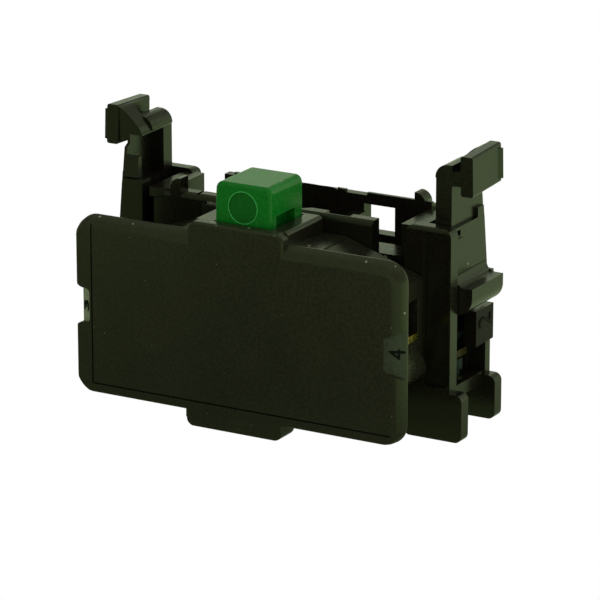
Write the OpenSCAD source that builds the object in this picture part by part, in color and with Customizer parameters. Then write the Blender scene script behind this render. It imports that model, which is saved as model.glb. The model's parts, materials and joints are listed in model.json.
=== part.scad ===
// Rear unit of an illuminated panel push button: a make contact block with a green plunger,
// clipped to a two-sided carrier that holds a bayonet lamp socket and two rocking clip arms.
// X runs along the width, Y from the front cover to the back, Z up towards the panel.
// The origin is under the middle of the unit, on the surface that it stands on.

/* [Contact block] */
// Width of the front cover
plate_w = 45.5; // [45:0.1:46]
// Height of the lower edge of the front cover
plate_bottom = 1.95; // [1.8:0.05:2.1]
// Height of the upper edge of the front cover
plate_top = 24.7; // [24.3:0.1:25]
// Depth of the contact block
block_d = 10.1; // [10:0.1:10.3]
// Thickness of the front cover
cover_t = 1.5; // [1.4:0.05:1.5]
// Width of the raised middle that guides the plunger
hump_w = 13.4; // [13:0.1:13.6]
// Height of the raised middle
hump_top = 26.1; // [25.9:0.1:26.3]
// Width of the release tongue under the cover
tongue_w = 13.3; // [12.8:0.1:13.8]
// Fall of the roof towards the terminals, in degrees
roof_fall = 19; // [18.6:0.2:19.4]

/* [Plunger and contacts] */
// Width of the plunger
plunger_w = 7.7; // [7.4:0.1:7.8]
// Depth of the plunger
plunger_d = 7.5; // [7.3:0.1:7.5]
// Height of the plunger's top at rest
plunger_top = 31.1; // [30.5:0.1:31.5]
// Travel of the contact bridge
bridge_travel = 2.3; // [2:0.1:2.3]

/* [Carrier] */
// Depth of the carrier
carrier_d = 10.66; // [10.6:0.02:10.8]
// Thickness of the two long walls
wall_t = 1.85; // [1.7:0.05:1.9]
// Height of the long walls
wall_top = 26.6; // [26.4:0.1:26.8]
// Distance of the terminal towers' outer faces from the middle
tower_out = 23.65; // [23.5:0.05:23.8]
// Distance of the feet's outer ends from the middle
foot_out = 25.3; // [25:0.1:25.5]
// Height of the feet
foot_h = 6.05; // [5.6:0.05:6.2]

/* [Clip arms] */
// Distance of the arms' inner faces from the middle
arm_in = 20.5; // [20.4:0.05:20.6]
// Distance of the arms' outer faces from the middle
arm_out = 22.65; // [22.55:0.05:22.75]
// Distance of the grip plates' outer faces from the middle
grip_out = 25.5; // [25.3:0.1:25.7]
// Height of the grip plates
grip_top = 35.5; // [35:0.1:36]
// Height of the pivots
pivot_z = 24; // [23.8:0.1:24.2]

/* [Lamp socket] */
// Inner radius of the bayonet sleeve, for a 9 mm lamp base
socket_r = 4.65; // [4.6:0.01:4.66]
// Height of the bayonet sleeve
socket_h = 9.5; // [8.5:0.5:10]

/* [Terminals] */
// Radius of the terminal screws' shanks
screw_r = 1.5; // [1.4:0.05:1.5]
// Radius of the terminal screws' heads
head_r = 2.2; // [2:0.1:2.3]

/* [Hidden] */
$fn = 48;

// Colours
black_plastic = "#23241d";
grey_plastic = "#3a3b36";
green_plastic = "#2f9a45";
brass = "#c9a545";
silver = "#cfd0cc";
steel = "#a9acae";

// Clearances and a little extra length for cuts
gap = 0.2;
fit_gap = 0.05;
cut = 0.5;

// Planes along the depth
y_front = -(block_d + gap + carrier_d) / 2;
y_block = y_front + block_d;
y_car = y_block + gap;
y_end = y_car + carrier_d;
y_mid = (y_car + y_end) / 2;
y_inside = y_front + cover_t;
y_chamber = y_block - 1.2;
y_plunger = y_inside + gap + plunger_d / 2;

// Contact block
plate_left = -plate_w / 2 - 0.3;
plate_right = plate_w / 2 - 0.1;
plate_corner = 2.6;
rim_w = 1.75;
rim_d = 1.3;
hump_x = -0.3;
tongue_x = -0.63;
tongue_d = 3.4;
tongue_set = 0.04;
housing_out = 20;
housing_bottom = 2.6;
floor_top = 4.4;
chamber_x = 13.2;
end_wall = 14.4;
deck_z = 24;
roof_start = 9.9;
roof_top = deck_z - 0.15;
roof_end = roof_top - (housing_out - roof_start) * tan(roof_fall);
terminal_floor = 7.8;
wire_floor = 9;
wire_roof = 18;
wire_out = 19.5;
bulge_out = housing_out + 0.7;
peg_x = 17.6;
peg_z = 19.25;
peg_r = 0.8;
peg_len = 2.4;
window_x = 9.15;
window_w = 4.3;
window_z = 21.9;
window_h = 3.6;

// Contacts and terminals, measured from the base
strip_z = 13.4;
lamp_strip_z = 9;
strip_t = 1;
strip_w = 4;
tip_r = 1.1;
tip_h = 0.8;
tip_x = 8.4;
bridge_t = 0.7;
bridge_z = strip_z + strip_t + 2 * tip_h + bridge_travel + 0.1;
block_screw_x = 17;
block_screw_y = y_front + 5.2;
lamp_screw_x = 20.2;
block_lift = 1.8;
lamp_lift = 1.6;
clamp_t = 0.9;
head_h = 2.2;
access_r = 2.4;

// Plunger
stem_w = 5.2;
stem_d = 4.9;
stem_bottom = 12;
slot_w = 2.8;
slot_top = 22.4;
slot_bottom = bridge_z - fit_gap;
stop_x = 5.2;
stop_top = 22.1;
stop_h = 1.5;
body_bottom = 23.4;
spigot_bottom = 10.9;
post_top = 6.2;

// Carrier
tower_in = 17.4;
tower_wall = 1.8;
wall_short = 12.9;
front_top = wall_top - 0.4;
lip_top = wall_top + 0.35;
wall_long = 16.4;
wall_bottom = 2.3;
ear_in = 19.6;
ear_out = 22.45;
ear_top = 26.85;
ear_t = 2;
base_z = 4.8;
base_t = 1.65;
shelf = base_z + base_t;
lower_top = 14.9;
pivot_x = 21.5;
pivot_r = 0.7;

// Clip arms
arm_front = y_car + tower_wall + 0.18;
arm_back = y_end - ear_t - 0.18;
head_back = y_end - 1.6;
arm_bottom = 15.6;
skin_out = 23.1;
skin_top = 26.2;
nose_z = 32.35;
nose_r = 1.65;
nose_x = 22.05;
gusset_t = 2.4;

// Lamp socket
sleeve_t = 0.3;
lamp_z = 13;
lamp_bore = 2.3;
lip_r = 1.7;
lip_t = 0.8;
spring_seat = 7;
flange_z = 11.4;

// Shapes that repeat

module half_turn() {
    translate([0, 2 * y_mid, 0]) rotate([0, 0, 180]) children();
}

module both_ends() {
    children();
    half_turn() children();
}

module box(x0, x1, y0, y1, z0, z1) {
    translate([x0, y0, z0]) cube([x1 - x0, y1 - y0, z1 - z0]);
}

// An outline drawn in X and Z, as thick as t, from y backwards
module upright(y, t) {
    translate([0, y + t, 0]) rotate([90, 0, 0]) linear_extrude(t) children();
}

// An outline drawn in Y and Z, from x0 to x1
module sideways(x0, x1) {
    translate([x0, 0, 0]) rotate([90, 0, 90]) linear_extrude(x1 - x0) children();
}

// A rod along Y
module rod(x, y0, y1, z, r) {
    translate([x, y1, z]) rotate([90, 0, 0]) cylinder(r = r, h = y1 - y0);
}

module round_rect(x0, x1, z0, z1, r) {
    translate([x0 + r, z0]) square([x1 - x0 - 2 * r, z1 - z0]);
    translate([x0, z0 + r]) square([x1 - x0, z1 - z0 - 2 * r]);
    for (x = [x0 + r, x1 - r], z = [z0 + r, z1 - r]) translate([x, z]) circle(r);
}

// A moulded plate with round corners, whose front edges are round too: edge_w is the width of the rounding
// on the right and above, and near_w the one on the left and below
module soft_plate(x0, x1, z0, z1, corner, edge_w, near_w, edge_d, y, t) {
    hull() for (a = [0, 30, 60, 90]) {
        back = 1 - cos(a);
        r = corner - edge_w * back;
        for (x = [x0 + near_w * back + r, x1 - edge_w * back - r],
             z = [z0 + near_w * back + r, z1 - edge_w * back - r])
            rod(x, y + edge_d * (1 - sin(a)), y + t, z, r, $fn = 32);
    }
}

// A round wire wound into a compression spring, with its axis along Z
module coil(r, wire, turns, z0, z1) {
    sides = 6;
    steps = 12 * turns;
    rise = z1 - z0 - wire;
    points = [for (i = [0:steps], k = [0:sides - 1])
        let (a = 360 * turns * i / steps, b = 360 * k / sides, q = r + wire / 2 * cos(b))
        [q * cos(a), q * sin(a), z0 + wire / 2 + rise * i / steps + wire / 2 * sin(b)]];
    skin = [for (i = [0:steps - 1], k = [0:sides - 1])
        let (a = i * sides + k, b = i * sides + (k + 1) % sides)
        each [[a, a + sides, b], [b, a + sides, b + sides]]];
    first = [for (k = [1:sides - 2]) [0, k, k + 1]];
    last = [for (k = [1:sides - 2]) [steps * sides, steps * sides + k + 1, steps * sides + k]];
    polyhedron(points, concat(skin, first, last));
}

// One contact strip to the right, with its screw hole
module strip(x0, x1, y, z, hole_x) {
    difference() {
        box(x0, x1, y - strip_w / 2, y + strip_w / 2, z, z + strip_t);
        translate([hole_x, y, z - cut]) cylinder(r = screw_r + fit_gap, h = strip_t + 2 * cut);
    }
}

// A clamp plate above its strip, with turned-down ends, tapped for its screw
module clamp_plate(x, y, z) {
    half_w = 2.2;
    half_d = 2.9;
    lip = 0.7;
    lip_h = 0.6;
    difference() {
        union() {
            box(x - half_w, x + half_w, y - half_d, y + half_d, z, z + clamp_t);
            for (s = [-1, 1]) translate([x, y + s * (half_d - lip / 2), z])
                cube([2 * half_w, lip, 2 * lip_h], center = true);
        }
        translate([x, y, z - cut]) cylinder(r = screw_r + fit_gap, h = clamp_t + 2 * cut);
    }
}

// A slotted screw with its head under the strip, turned from below
module terminal_screw(x, y, z, lift) {
    translate([x, y, z - head_h - fit_gap]) difference() {
        union() {
            rotate_extrude() polygon([[0, 0], [head_r - 0.35, 0], [head_r, 0.35],
                                      [head_r, head_h], [0, head_h]]);
            cylinder(r = screw_r, h = head_h + strip_t + lift + clamp_t + cut);
        }
        translate([0, 0, 0.4]) cube([2 * head_r + cut, 0.6, 0.9], center = true);
    }
}

// Contact block

// The sunk field for a terminal digit, which opens and deepens towards the right-hand edge
module digit_pad() {
    hull() {
        box(plate_right - 2.5, plate_right - 2.45, y_front - cut, y_front, 11.3, 15.4);
        box(plate_right + 0.4, plate_right + 0.45, y_front - cut, y_front + 1.35, 10.2, 16.8);
    }
}

module contact_cover() {
    seam = 0.2;
    seam_x = -20.75;
    seam_z = 3.2;
    color(black_plastic) difference() {
        union() {
            soft_plate(plate_left, plate_right, plate_bottom, plate_top, plate_corner, rim_w, 0.3, rim_d,
                       y_front, cover_t);
            soft_plate(hump_x - hump_w / 2, hump_x + hump_w / 2, plate_top - 4, hump_top,
                       1.2, 0.35, 0.35, 0.35, y_front, cover_t);
            soft_plate(tongue_x - tongue_w / 2, tongue_x + tongue_w / 2, 0, housing_bottom, 1, 0.3, 0.3, 0.3,
                       y_front + tongue_set, tongue_d);
            box(tongue_x - tongue_w / 2, tongue_x + tongue_w / 2, y_front + 0.1, y_inside - 0.05, 1.1, 5);
            for (x = [-peg_x, peg_x]) rod(x, y_inside - cut, y_inside + peg_len, peg_z, peg_r);
        }
        upright(y_front - cut, cover_t + 2 * cut)
            round_rect(plate_left - 2, plate_left + 2.05, 11, 15.4, 0.6);
        digit_pad();
        box(seam_x, seam_x + seam, y_front - cut, y_front + 0.15, seam_z, plate_top - 0.8);
        box(seam_x, plate_right - 1.6, y_front - cut, y_front + 0.2, seam_z, seam_z + seam);
    }
}

module housing_outline() {
    for (s = [0, 1]) mirror([s, 0])
        polygon([[-1, housing_bottom], [end_wall - 0.6, housing_bottom], [end_wall, housing_bottom + 0.6],
                 [end_wall, terminal_floor], [housing_out - 0.3, terminal_floor],
                 [housing_out, terminal_floor + 0.3], [housing_out, roof_end], [roof_start, roof_top],
                 [roof_start, deck_z], [-1, deck_z]]);
}

// The hollow behind the cover, under the roof
module chamber_outline() {
    ceiling = stop_top + 0.1;
    polygon([[-chamber_x, floor_top], [chamber_x, floor_top], [chamber_x, roof_end - 0.6],
             [5.6, ceiling], [-5.6, ceiling], [-chamber_x, roof_end - 0.6]]);
}

// The wire chamber at the right-hand end, open to the side above the strip
module wire_chamber() {
    upright(y_inside - cut, y_chamber - y_inside + cut)
        polygon([[end_wall, wire_floor], [wire_out, wire_floor], [wire_out, strip_z],
                 [housing_out + 1, strip_z], [housing_out + 1, wire_roof], [end_wall, wire_roof]]);
    translate([block_screw_x, block_screw_y, 0]) cylinder(r = access_r, h = wire_floor + cut);
}

// The swelling of the end wall under the wire opening
module end_bulge() {
    intersection() {
        upright(y_inside, 8.4) polygon([[wire_out - 0.7, terminal_floor], [housing_out, terminal_floor],
                                        [bulge_out, 8.6], [bulge_out, 10.5], [housing_out - 0.1, strip_z],
                                        [wire_out - 0.7, strip_z]]);
        sideways(wire_out - 1, bulge_out + 1)
            polygon([[y_inside, 0], [y_inside + 8.4, 0], [y_inside + 8.4, 9.4],
                     [y_inside + 5.55, strip_z], [y_inside, strip_z]]);
    }
}

// The hook that holds the block in the carrier's window
module block_hook() {
    back = y_car + wall_t + 0.9;
    box(-window_x - 1.7, -window_x + 1.7, y_block - cut, back, window_z + 0.3, deck_z - 0.3);
    box(-window_x - 1.7, -window_x + 1.7, y_block, back, window_z + 0.3, window_z + window_h - 0.3);
    box(-window_x - 1.7, -window_x + 1.7, back - 0.8, back, window_z - 0.6, window_z + 1.9);
}

module contact_housing() {
    guide_w = plunger_w + 2 * gap;
    color(black_plastic) {
        difference() {
            union() {
                upright(y_inside, block_d - cover_t) housing_outline();
                for (s = [0, 1]) mirror([s, 0, 0]) end_bulge();
                upright(y_inside, block_d - cover_t - 0.1)
                    round_rect(hump_x + 0.1 - hump_w / 2, hump_x + hump_w / 2 - 0.1, 20, hump_top, 0.6);
            }
            upright(y_inside - cut, y_chamber - y_inside + cut) chamber_outline();
            box(-guide_w / 2, guide_w / 2, y_inside - cut, y_plunger + plunger_d / 2 + gap,
                18, hump_top + cut);
            for (s = [0, 1]) mirror([s, 0, 0]) {
                wire_chamber();
                rod(peg_x, y_inside - cut, y_inside + peg_len + gap, peg_z, peg_r + fit_gap);
                box(chamber_x - cut, end_wall + cut, block_screw_y - strip_w / 2, block_screw_y + strip_w / 2,
                    strip_z, strip_z + strip_t);
            }
        }
        for (s = [0, 1]) mirror([s, 0, 0])
            box(6.4, 9.6, y_inside + gap, y_chamber + cut, floor_top - cut, strip_z);
        translate([0, y_plunger, floor_top - cut]) cylinder(r = 1.1, h = post_top - floor_top + cut);
        block_hook();
    }
}

module plunger() {
    half_w = plunger_w / 2;
    half_d = plunger_d / 2;
    corner = 0.9;
    notch_y = y_plunger - 0.24;
    notch_half = 2.27;
    notch_top = 27.45;
    mark_r = 2;
    mark_deep = 0.12;
    color(green_plastic) difference() {
        union() {
            upright(y_plunger - half_d, plunger_d) {
                translate([-half_w, body_bottom]) square([plunger_w, plunger_top - corner - body_bottom]);
                translate([corner - half_w, body_bottom])
                    square([plunger_w - 2 * corner, plunger_top - body_bottom]);
                for (x = [corner - half_w, half_w - corner])
                    translate([x, plunger_top - corner]) circle(corner);
            }
            box(-stem_w / 2, stem_w / 2, y_plunger - stem_d / 2, y_plunger + stem_d / 2,
                stem_bottom, body_bottom + 1);
            translate([0, y_plunger, spigot_bottom]) cylinder(r = 1.1, h = stem_bottom - spigot_bottom + cut);
            for (y = [y_plunger - stem_d / 2, y_plunger + slot_w / 2])
                box(-stop_x, stop_x, y, y + (stem_d - slot_w) / 2, stop_top - stop_h, stop_top);
        }
        box(-stop_x - cut, stop_x + cut, y_plunger - slot_w / 2, y_plunger + slot_w / 2,
            slot_bottom, slot_top);
        for (s = [0, 1]) mirror([s, 0, 0])
            box(stem_w / 2, half_w + cut, notch_y - notch_half, notch_y + notch_half,
                body_bottom - cut, notch_top);
        rod(-0.05, y_plunger - half_d - cut, y_plunger - half_d + mark_deep, 28.2, mark_r);
    }
}

module plunger_spring() {
    color(steel) translate([0, y_plunger, 0]) coil(1.75, 0.5, 5, floor_top, stem_bottom);
}

module contact_spring() {
    color(steel) translate([0, y_plunger, 0]) coil(0.95, 0.35, 3, bridge_z + bridge_t, slot_top);
}

module contact_bridge() {
    width = 2.4;
    end_x = 9.5 - width / 2;
    color(brass) translate([0, y_plunger, bridge_z]) {
        linear_extrude(bridge_t) {
            square([2 * end_x, width], center = true);
            for (x = [-end_x, end_x]) translate([x, 0]) circle(width / 2);
        }
        translate([0, 0, bridge_t]) cylinder(r = 0.6, h = 0.6);
    }
}

module bridge_tips() {
    color(silver) for (x = [-tip_x, tip_x])
        translate([x, y_plunger, bridge_z - tip_h]) cylinder(r1 = tip_r - 0.25, r2 = tip_r, h = tip_h);
}

module fixed_tips() {
    color(silver) for (x = [-tip_x, tip_x])
        translate([x, y_plunger, strip_z + strip_t]) cylinder(r1 = tip_r, r2 = tip_r - 0.25, h = tip_h);
}

module fixed_contact_right() {
    color(brass) strip(6.6, housing_out + 0.9, block_screw_y, strip_z, block_screw_x);
}

module fixed_contact_left() { mirror([1, 0, 0]) fixed_contact_right(); }

module terminal_clamp_right() {
    color(steel) clamp_plate(block_screw_x, block_screw_y, strip_z + strip_t + block_lift);
}

module terminal_clamp_left() { mirror([1, 0, 0]) terminal_clamp_right(); }

module terminal_screw_right() {
    color(steel) terminal_screw(block_screw_x, block_screw_y, strip_z, block_lift);
}

module terminal_screw_left() { mirror([1, 0, 0]) terminal_screw_right(); }

// Carrier

// The section of a long wall, with its outer upper edge round
module wall_section(top) {
    edge = 0.7;
    translate([y_car, wall_bottom]) square([wall_t, top - edge - wall_bottom]);
    translate([y_car + edge, wall_bottom]) square([wall_t - edge, top - wall_bottom]);
    translate([y_car + edge, top - edge]) circle(edge);
}

// A long wall with its snap window and the stop nub at its end
module long_wall(top) {
    difference() {
        sideways(-wall_long, wall_short) wall_section(top);
        box(-window_x - window_w / 2, -window_x + window_w / 2, y_car - cut, y_car + wall_t + cut,
            window_z, window_z + window_h);
    }
    upright(y_car, wall_t) {
        nub_x = -15.5;
        nub_w = 1.5;
        nub_r = 1.4;
        translate([nub_x, 24]) square([nub_w, 2.5]);
        intersection() {
            translate([nub_x + nub_r, 26.5]) circle(nub_r);
            translate([nub_x, 26.5]) square([nub_w, nub_r]);
        }
        translate([nub_x + nub_r, 26.4]) square([nub_w - nub_r, nub_r + 0.1]);
    }
}

// The wall behind the contact block, with a rebate and a slot in its top
module front_wall() {
    difference() {
        long_wall(front_top);
        box(6, 9.4, y_car + 0.75, y_car + wall_t + cut, front_top - 0.5, front_top + cut);
        box(-11.9, -11.5, y_car + 0.3, y_car + wall_t + cut, front_top - 0.5, front_top + cut);
    }
}

// The wall on the far side, with two raised lips along its inner edge
module rear_wall() {
    half_turn() {
        long_wall(wall_top);
        for (x = [[-wall_long, -7.4], [-4.4, 11.5]])
            box(x[0], x[1], y_car + wall_t - 0.5, y_car + wall_t, wall_top - cut, lip_top);
    }
}

// The wide front plate of a terminal tower, with its foot, its sunk label field and a round upper edge
module tower_plate() {
    top = wall_top - 0.03;
    edge = 0.5;
    difference() {
        upright(y_car, tower_wall) {
            round_rect(tower_in, tower_out, 0.5, top, 1.1);
            round_rect(tower_in, foot_out, 0, foot_h, 0.9);
        }
        upright(y_car - cut, 0.35 + cut) round_rect(19.95, tower_out - 0.3, 6.7, 26, 0.7);
        sideways(tower_in - cut, tower_out + cut) difference() {
            translate([y_car - cut, top - edge]) square(edge + cut);
            translate([y_car + edge, top - edge]) circle(edge);
        }
    }
    rod(pivot_x, y_car + tower_wall - cut, y_car + tower_wall + 1.5, pivot_z, pivot_r);
}

// The narrow ear at the other end of the same face, with its foot and lower wall
module tower_ear() {
    upright(y_car, ear_t) polygon([[-ear_in, foot_h - 1], [-ear_in, ear_top], [-ear_out, ear_top],
                                   [-ear_out, 23], [-21.3, arm_bottom - 0.6], [-21.3, foot_h - 1]]);
    upright(y_car, tower_wall) round_rect(-foot_out, -18.4, 0.5, foot_h, 0.9);
    upright(y_car, 1.26) translate([-tower_out, shelf - 2])
        square([tower_out - wall_long + 0.3, lower_top - shelf + 2]);
    rod(-pivot_x, y_car + ear_t - cut, y_car + ear_t + 1.5, pivot_z, pivot_r);
}

// Inner wall, deck and side plate of a tower
module tower_inside() {
    box(wall_long - 0.2, tower_in + 0.5, y_car + tower_wall - cut, y_end, base_z, 25);
    box(wall_long - 0.2, 18.9, y_car + tower_wall - cut, y_end - 0.6, 24.9, 26.1);
    box(22.4, tower_out + 0.4, y_car + 6.1, y_end, 10.4, lower_top);
    box(10.8, tower_in, y_car + wall_t - 0.2, y_car + 5.7, 20.7, 21.9);
    box(5.8, 7.2, y_end - 4.4, y_end - wall_t + 0.2, 17, 24.5);
}

module carrier_frame() {
    pocket_r = socket_r + sleeve_t + fit_gap;
    color(black_plastic) difference() {
        union() {
            front_wall();
            rear_wall();
            both_ends() {
                tower_plate();
                tower_ear();
                tower_inside();
            }
            box(-23.4, 23.4, y_car + 0.4, y_end - 0.4, base_z, shelf);
        }
        translate([0, y_mid, shelf]) cylinder(r = pocket_r, h = wall_top);
        for (s = [-1, 1]) translate([s * lamp_screw_x, y_mid, base_z - cut])
            cylinder(r = access_r, h = base_t + 2 * cut);
        both_ends() box(wall_long - 1, tower_in + 1, y_mid - strip_w / 2, y_mid + strip_w / 2,
                        lamp_strip_z, lamp_strip_z + strip_t);
    }
}

// Clip arms

// The release lug at the lower end of an arm, seen along Y
module lug_outline() {
    lug_top = 18.95;
    lug_bottom = 15.5;
    fillet = 1.3;
    nose = 2.2;
    difference() {
        translate([22.7, lug_bottom]) square([grip_out - 22.7, lug_top + fillet - lug_bottom]);
        translate([skin_out + fillet + 0.1, lug_top + fillet]) circle(fillet);
        translate([skin_out + fillet + 0.1, lug_top]) square([3, 5]);
        translate([grip_out - nose, lug_bottom]) difference() {
            square([nose + 1, nose]);
            translate([0, nose]) circle(nose);
        }
        translate([22, lug_bottom - 1]) square([1.1, 1.2]);
    }
}

// The gusset that ties the grip plate to the arm, seen along Y
module gusset_outline() {
    polygon([[22.4, 31.9], [20.6, 32.15], [20.6, 32.5], [20.93, 33.11], [22.64, 34.73], [23.2, 35.13],
             [23.7, 35.36], [24.3, grip_top], [24.3, 30.8]]);
}

// The nose that grips the panel operator, seen along Y
module nose_outline() {
    intersection() {
        translate([nose_x, nose_z]) circle(nose_r);
        translate([nose_x - nose_r, nose_z]) square(nose_r);
    }
    translate([nose_x - 0.1, nose_z - 0.25]) square([arm_out - nose_x + 0.1, nose_r + 0.25]);
    polygon([[nose_x - nose_r, nose_z], [nose_x - nose_r + 0.15, nose_z - 0.25], [nose_x, nose_z - 0.25],
             [nose_x, nose_z]]);
}

// The grip plate, which leans back a little
module grip_plate() {
    foot = 30.35;
    lean = 2.5;
    translate([0, arm_front, foot]) rotate([lean, 0, 0])
        upright(0, head_back + 0.3 - arm_front) round_rect(23.85, grip_out, 0, grip_top - 0.15 - foot, 0.3);
}

module clip_arm_right() {
    color(black_plastic) difference() {
        union() {
            sideways(arm_in, arm_out) polygon([[arm_front, arm_bottom], [arm_back, arm_bottom],
                                               [arm_back, 27], [y_end - 0.37, 27], [y_end - 0.9, 30.6],
                                               [head_back, 31], [head_back, nose_z],
                                               [arm_front, nose_z]]);
            rod(pivot_x, arm_front, arm_back, pivot_z, pivot_r + 0.65);
            sideways(arm_out - 0.1, skin_out) polygon([[arm_front, arm_bottom], [y_end, arm_bottom],
                                                       [y_end, 19.4], [y_end - 0.9, skin_top],
                                                       [arm_front, skin_top]]);
            upright(arm_front, head_back - gusset_t + 0.1 - arm_front) nose_outline();
            upright(arm_front, head_back - arm_front)
                translate([arm_out - 0.1, 31.5]) square([1.7, 1.7]);
            grip_plate();
            upright(head_back - gusset_t, gusset_t) gusset_outline();
            upright(arm_front + 0.1, y_end - 0.5 - arm_front) lug_outline();
            box(skin_out - 0.1, 24.03, y_end - 0.8, y_end - 0.05, 17.5, 19.25);
            box(skin_out - 0.1, skin_out + 0.15, arm_front + 0.3, arm_front + 2, 23.2, 24.8);
        }
        box(arm_in - cut, arm_out - 0.4, arm_front + 2, y_end + cut, 29.6, nose_z - 0.25);
        box(arm_in - cut, arm_out - 0.4, arm_front + 2, y_end - 1.4, 26.3, 29.7);
        box(arm_out - 0.6, skin_out + cut, arm_front + 0.3, arm_front + 1.5, 25.1, 25.8);
        rod(pivot_x, arm_front - cut, head_back + cut, pivot_z, pivot_r + fit_gap);
    }
}

module clip_arm_left() { half_turn() clip_arm_right(); }

// Lamp socket

// The way of a lamp strip from x0 in the lamp base, down past its end and out to the terminal
module lamp_strip_route(x0) {
    strip(13, 22.2, y_mid, lamp_strip_z, lamp_screw_x);
    box(13, 14, y_mid - strip_w / 2, y_mid + strip_w / 2, lamp_strip_z, lamp_z);
    box(x0, 14, y_mid - strip_w / 2, y_mid + strip_w / 2, lamp_z - strip_t, lamp_z);
}

// The way of the right-hand strip, which ends in the seat under the lamp contact
module centre_strip_route() {
    lamp_strip_route(8);
    box(8, 9, y_mid - strip_w / 2, y_mid + strip_w / 2, shelf, lamp_z);
    box(-2, 9, y_mid - 1.5, y_mid + 1.5, shelf, spring_seat);
}

module lamp_base() {
    half_d = y_mid - y_car - wall_t;
    color(grey_plastic) difference() {
        union() {
            box(-12.5, 12.5, y_mid - half_d, y_mid + half_d, shelf, lamp_z);
            translate([0, y_mid, shelf]) cylinder(r = socket_r + sleeve_t, h = lamp_z - shelf);
        }
        translate([0, y_mid, spring_seat]) cylinder(r = lamp_bore, h = lamp_z - lip_t - spring_seat);
        translate([0, y_mid, spring_seat]) cylinder(r = lip_r, h = lamp_z);
        centre_strip_route();
        half_turn() lamp_strip_route(4);
    }
}

// A brass sleeve with two bayonet slots
module lamp_sleeve() {
    outer = socket_r + sleeve_t;
    slot = 2.2;
    slot_deep = 4.6;
    color(brass) translate([0, y_mid, lamp_z]) difference() {
        cylinder(r = outer, h = socket_h);
        translate([0, 0, -cut]) cylinder(r = socket_r, h = socket_h + 2 * cut);
        for (a = [0, 180]) rotate([0, 0, a]) {
            translate([0, -slot / 2, socket_h - slot_deep]) cube([outer + cut, slot, slot_deep + cut]);
            translate([0, -slot / 2, socket_h - slot_deep]) cube([outer + cut, slot + 0.9, slot]);
        }
    }
}

// A sprung button that meets the foot of the lamp
module lamp_contact() {
    nose_r = lip_r - 0.1;
    color(brass) translate([0, y_mid, flange_z]) rotate_extrude()
        polygon([[0, 0], [lamp_bore - 0.1, 0], [lamp_bore - 0.1, 0.7], [nose_r, 0.7], [nose_r, 1.2],
                 [nose_r - 0.4, 1.5], [0, 1.55]]);
}

module lamp_contact_spring() {
    color(steel) translate([0, y_mid, 0]) coil(1.7, 0.35, 5, spring_seat, flange_z);
}

module lamp_strip_right() { color(brass) centre_strip_route(); }

module lamp_strip_left() { color(brass) half_turn() lamp_strip_route(4); }

module lamp_clamp_right() {
    color(steel) clamp_plate(lamp_screw_x, y_mid, lamp_strip_z + strip_t + lamp_lift);
}

module lamp_clamp_left() { half_turn() lamp_clamp_right(); }

module lamp_screw_right() { color(steel) terminal_screw(lamp_screw_x, y_mid, lamp_strip_z, lamp_lift); }

module lamp_screw_left() { half_turn() lamp_screw_right(); }

contact_cover();
contact_housing();
plunger();
plunger_spring();
contact_spring();
contact_bridge();
bridge_tips();
fixed_contact_left();
fixed_contact_right();
fixed_tips();
terminal_clamp_left();
terminal_clamp_right();
terminal_screw_left();
terminal_screw_right();
carrier_frame();
clip_arm_left();
clip_arm_right();
lamp_base();
lamp_sleeve();
lamp_contact();
lamp_contact_spring();
lamp_strip_left();
lamp_strip_right();
lamp_clamp_left();
lamp_clamp_right();
lamp_screw_left();
lamp_screw_right();
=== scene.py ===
# Dressed model of a push button contact unit: finishes, softened edges, marks, floor, light and camera.
import json
import math

import bmesh
import bpy
from mathutils import Matrix, Vector


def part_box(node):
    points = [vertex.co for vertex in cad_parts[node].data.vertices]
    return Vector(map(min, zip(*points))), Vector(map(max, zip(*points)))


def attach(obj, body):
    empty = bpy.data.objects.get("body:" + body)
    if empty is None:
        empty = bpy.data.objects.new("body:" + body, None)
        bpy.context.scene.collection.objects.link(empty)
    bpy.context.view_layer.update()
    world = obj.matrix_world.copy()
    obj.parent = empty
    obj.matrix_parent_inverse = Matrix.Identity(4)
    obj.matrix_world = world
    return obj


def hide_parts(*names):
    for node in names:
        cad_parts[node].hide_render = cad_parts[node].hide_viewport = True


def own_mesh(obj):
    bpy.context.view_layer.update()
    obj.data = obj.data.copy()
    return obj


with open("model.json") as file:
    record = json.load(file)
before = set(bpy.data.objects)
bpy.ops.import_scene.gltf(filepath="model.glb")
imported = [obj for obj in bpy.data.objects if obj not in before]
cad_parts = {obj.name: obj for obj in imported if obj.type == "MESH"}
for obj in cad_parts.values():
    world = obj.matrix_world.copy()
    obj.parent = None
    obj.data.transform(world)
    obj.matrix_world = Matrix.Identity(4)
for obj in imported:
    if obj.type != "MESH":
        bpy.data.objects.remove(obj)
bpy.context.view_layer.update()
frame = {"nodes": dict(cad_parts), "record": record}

MM = 0.001
UPWARD = (0, 0, 1)
FORWARD = (0, -1, 0)
RIGHTWARD = (1, 0, 0)

# Camera, as the photograph was taken
CAMERA_AZIMUTH = math.radians(29.6)
CAMERA_ELEVATION = math.radians(17.15)
CAMERA_DISTANCE = 481.9 * MM
CAMERA_LENS = 240
CAMERA_SENSOR = 36
CAMERA_NEAR = 10 * MM
AIM = Vector((0.9, -10.48, 13.5)) * MM
AIM_RIGHT = 6.87 * MM
AIM_UP = 3.61 * MM

# Sky: a base, a low band behind the unit, and further parts by direction, spread and strength
BACK = (0.25, 0.968, 0.0)
SKY_TINT = (0.88, 1.0, 0.72)
SKY_BASE = 0.12
SKY_LOW_SPREAD = (0.30, 0.70)
SKY_BACK_SPREAD = (0.2, 0.75)
SKY_BACK_STRENGTH = 0.58
SKY_FRONT = ((-0.45, -0.88, 0.16), (0.5, 1.0), 0.20)
SKY_TOP = (UPWARD, (0.6, 0.95), 0.32)
SKY_RIGHT = ((0.90, -0.30, 0.30), (0.4, 1.0), 0.12)

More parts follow.
